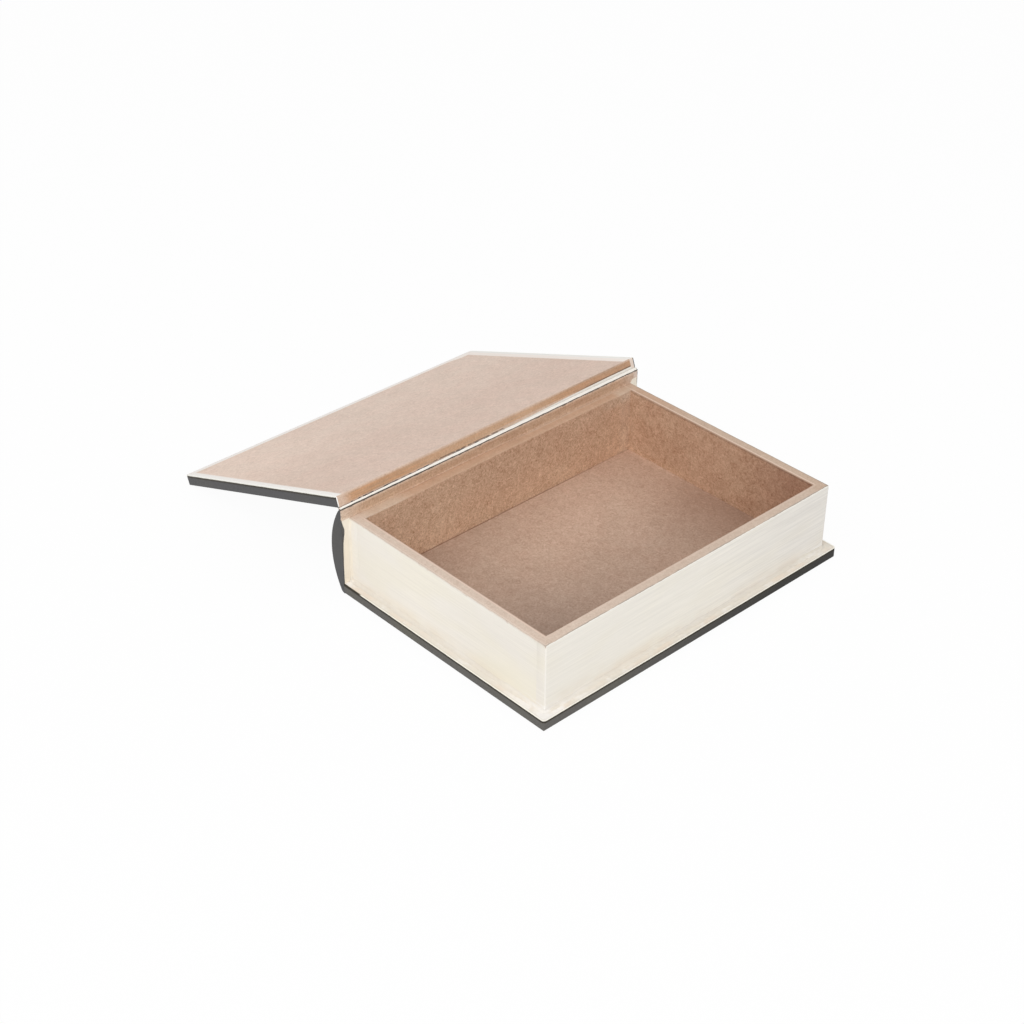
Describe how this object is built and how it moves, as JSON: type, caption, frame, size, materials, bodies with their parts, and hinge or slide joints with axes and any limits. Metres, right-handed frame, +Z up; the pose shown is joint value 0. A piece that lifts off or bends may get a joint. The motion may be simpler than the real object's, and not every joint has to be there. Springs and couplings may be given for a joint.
{
  "type": "book box",
  "caption": "Wooden box in the form of a hardback book: a shallow tray inside the page block, a rounded spine and a cloth-hinged front cover as the lid.",
  "frame": {"origin": "on the underside of the back cover, under the middle of the page block", "axes": "+X from the spine to the fore edge, +Y along the spine from tail to head, +Z up out of the tray; the lid is open, lying on the -X side"},
  "size_m": [0.3149, 0.2316, 0.0623],
  "materials": {
    "raw_board": "raw fibreboard, unsealed",
    "page_edges": "fibreboard with brushed cream paint outside",
    "dark_covering": "smooth matt imitation leather",
    "hinge_cloth": "dark coated cloth",
    "hinge_lining": "off-white cloth"
  },
  "bodies": {
    "tray": {"base_board": "raw_board", "base_covering": "dark_covering", "tail_wall": "page_edges", "head_wall": "page_edges", "fore_edge_wall": "page_edges", "back_wall": "raw_board", "spine_rail": "raw_board", "spine_covering": "dark_covering"},
    "hinge_strip": {"hinge_cloth": "hinge_cloth", "hinge_lining": "hinge_lining"},
    "lid": {"lid_board": "raw_board", "lid_covering": "dark_covering"}
  },
  "joints": [
    {"name": "lid_hinge", "type": "hinge", "parent": "tray", "child": "lid", "pos_m": [-0.07786, 0, 0.05617], "axis": [0, 1, 0], "range_deg": [0, 200.73]},
    {"name": "strip_fold", "type": "hinge", "parent": "tray", "child": "hinge_strip", "pos_m": [-0.078, 0, 0.0554], "axis": [0, 1, 0], "range_deg": [0, 160]}
  ],
  "couplings": [
    {"joint": "strip_fold", "follows": "lid_hinge", "ratio": 0.79707}
  ]
}
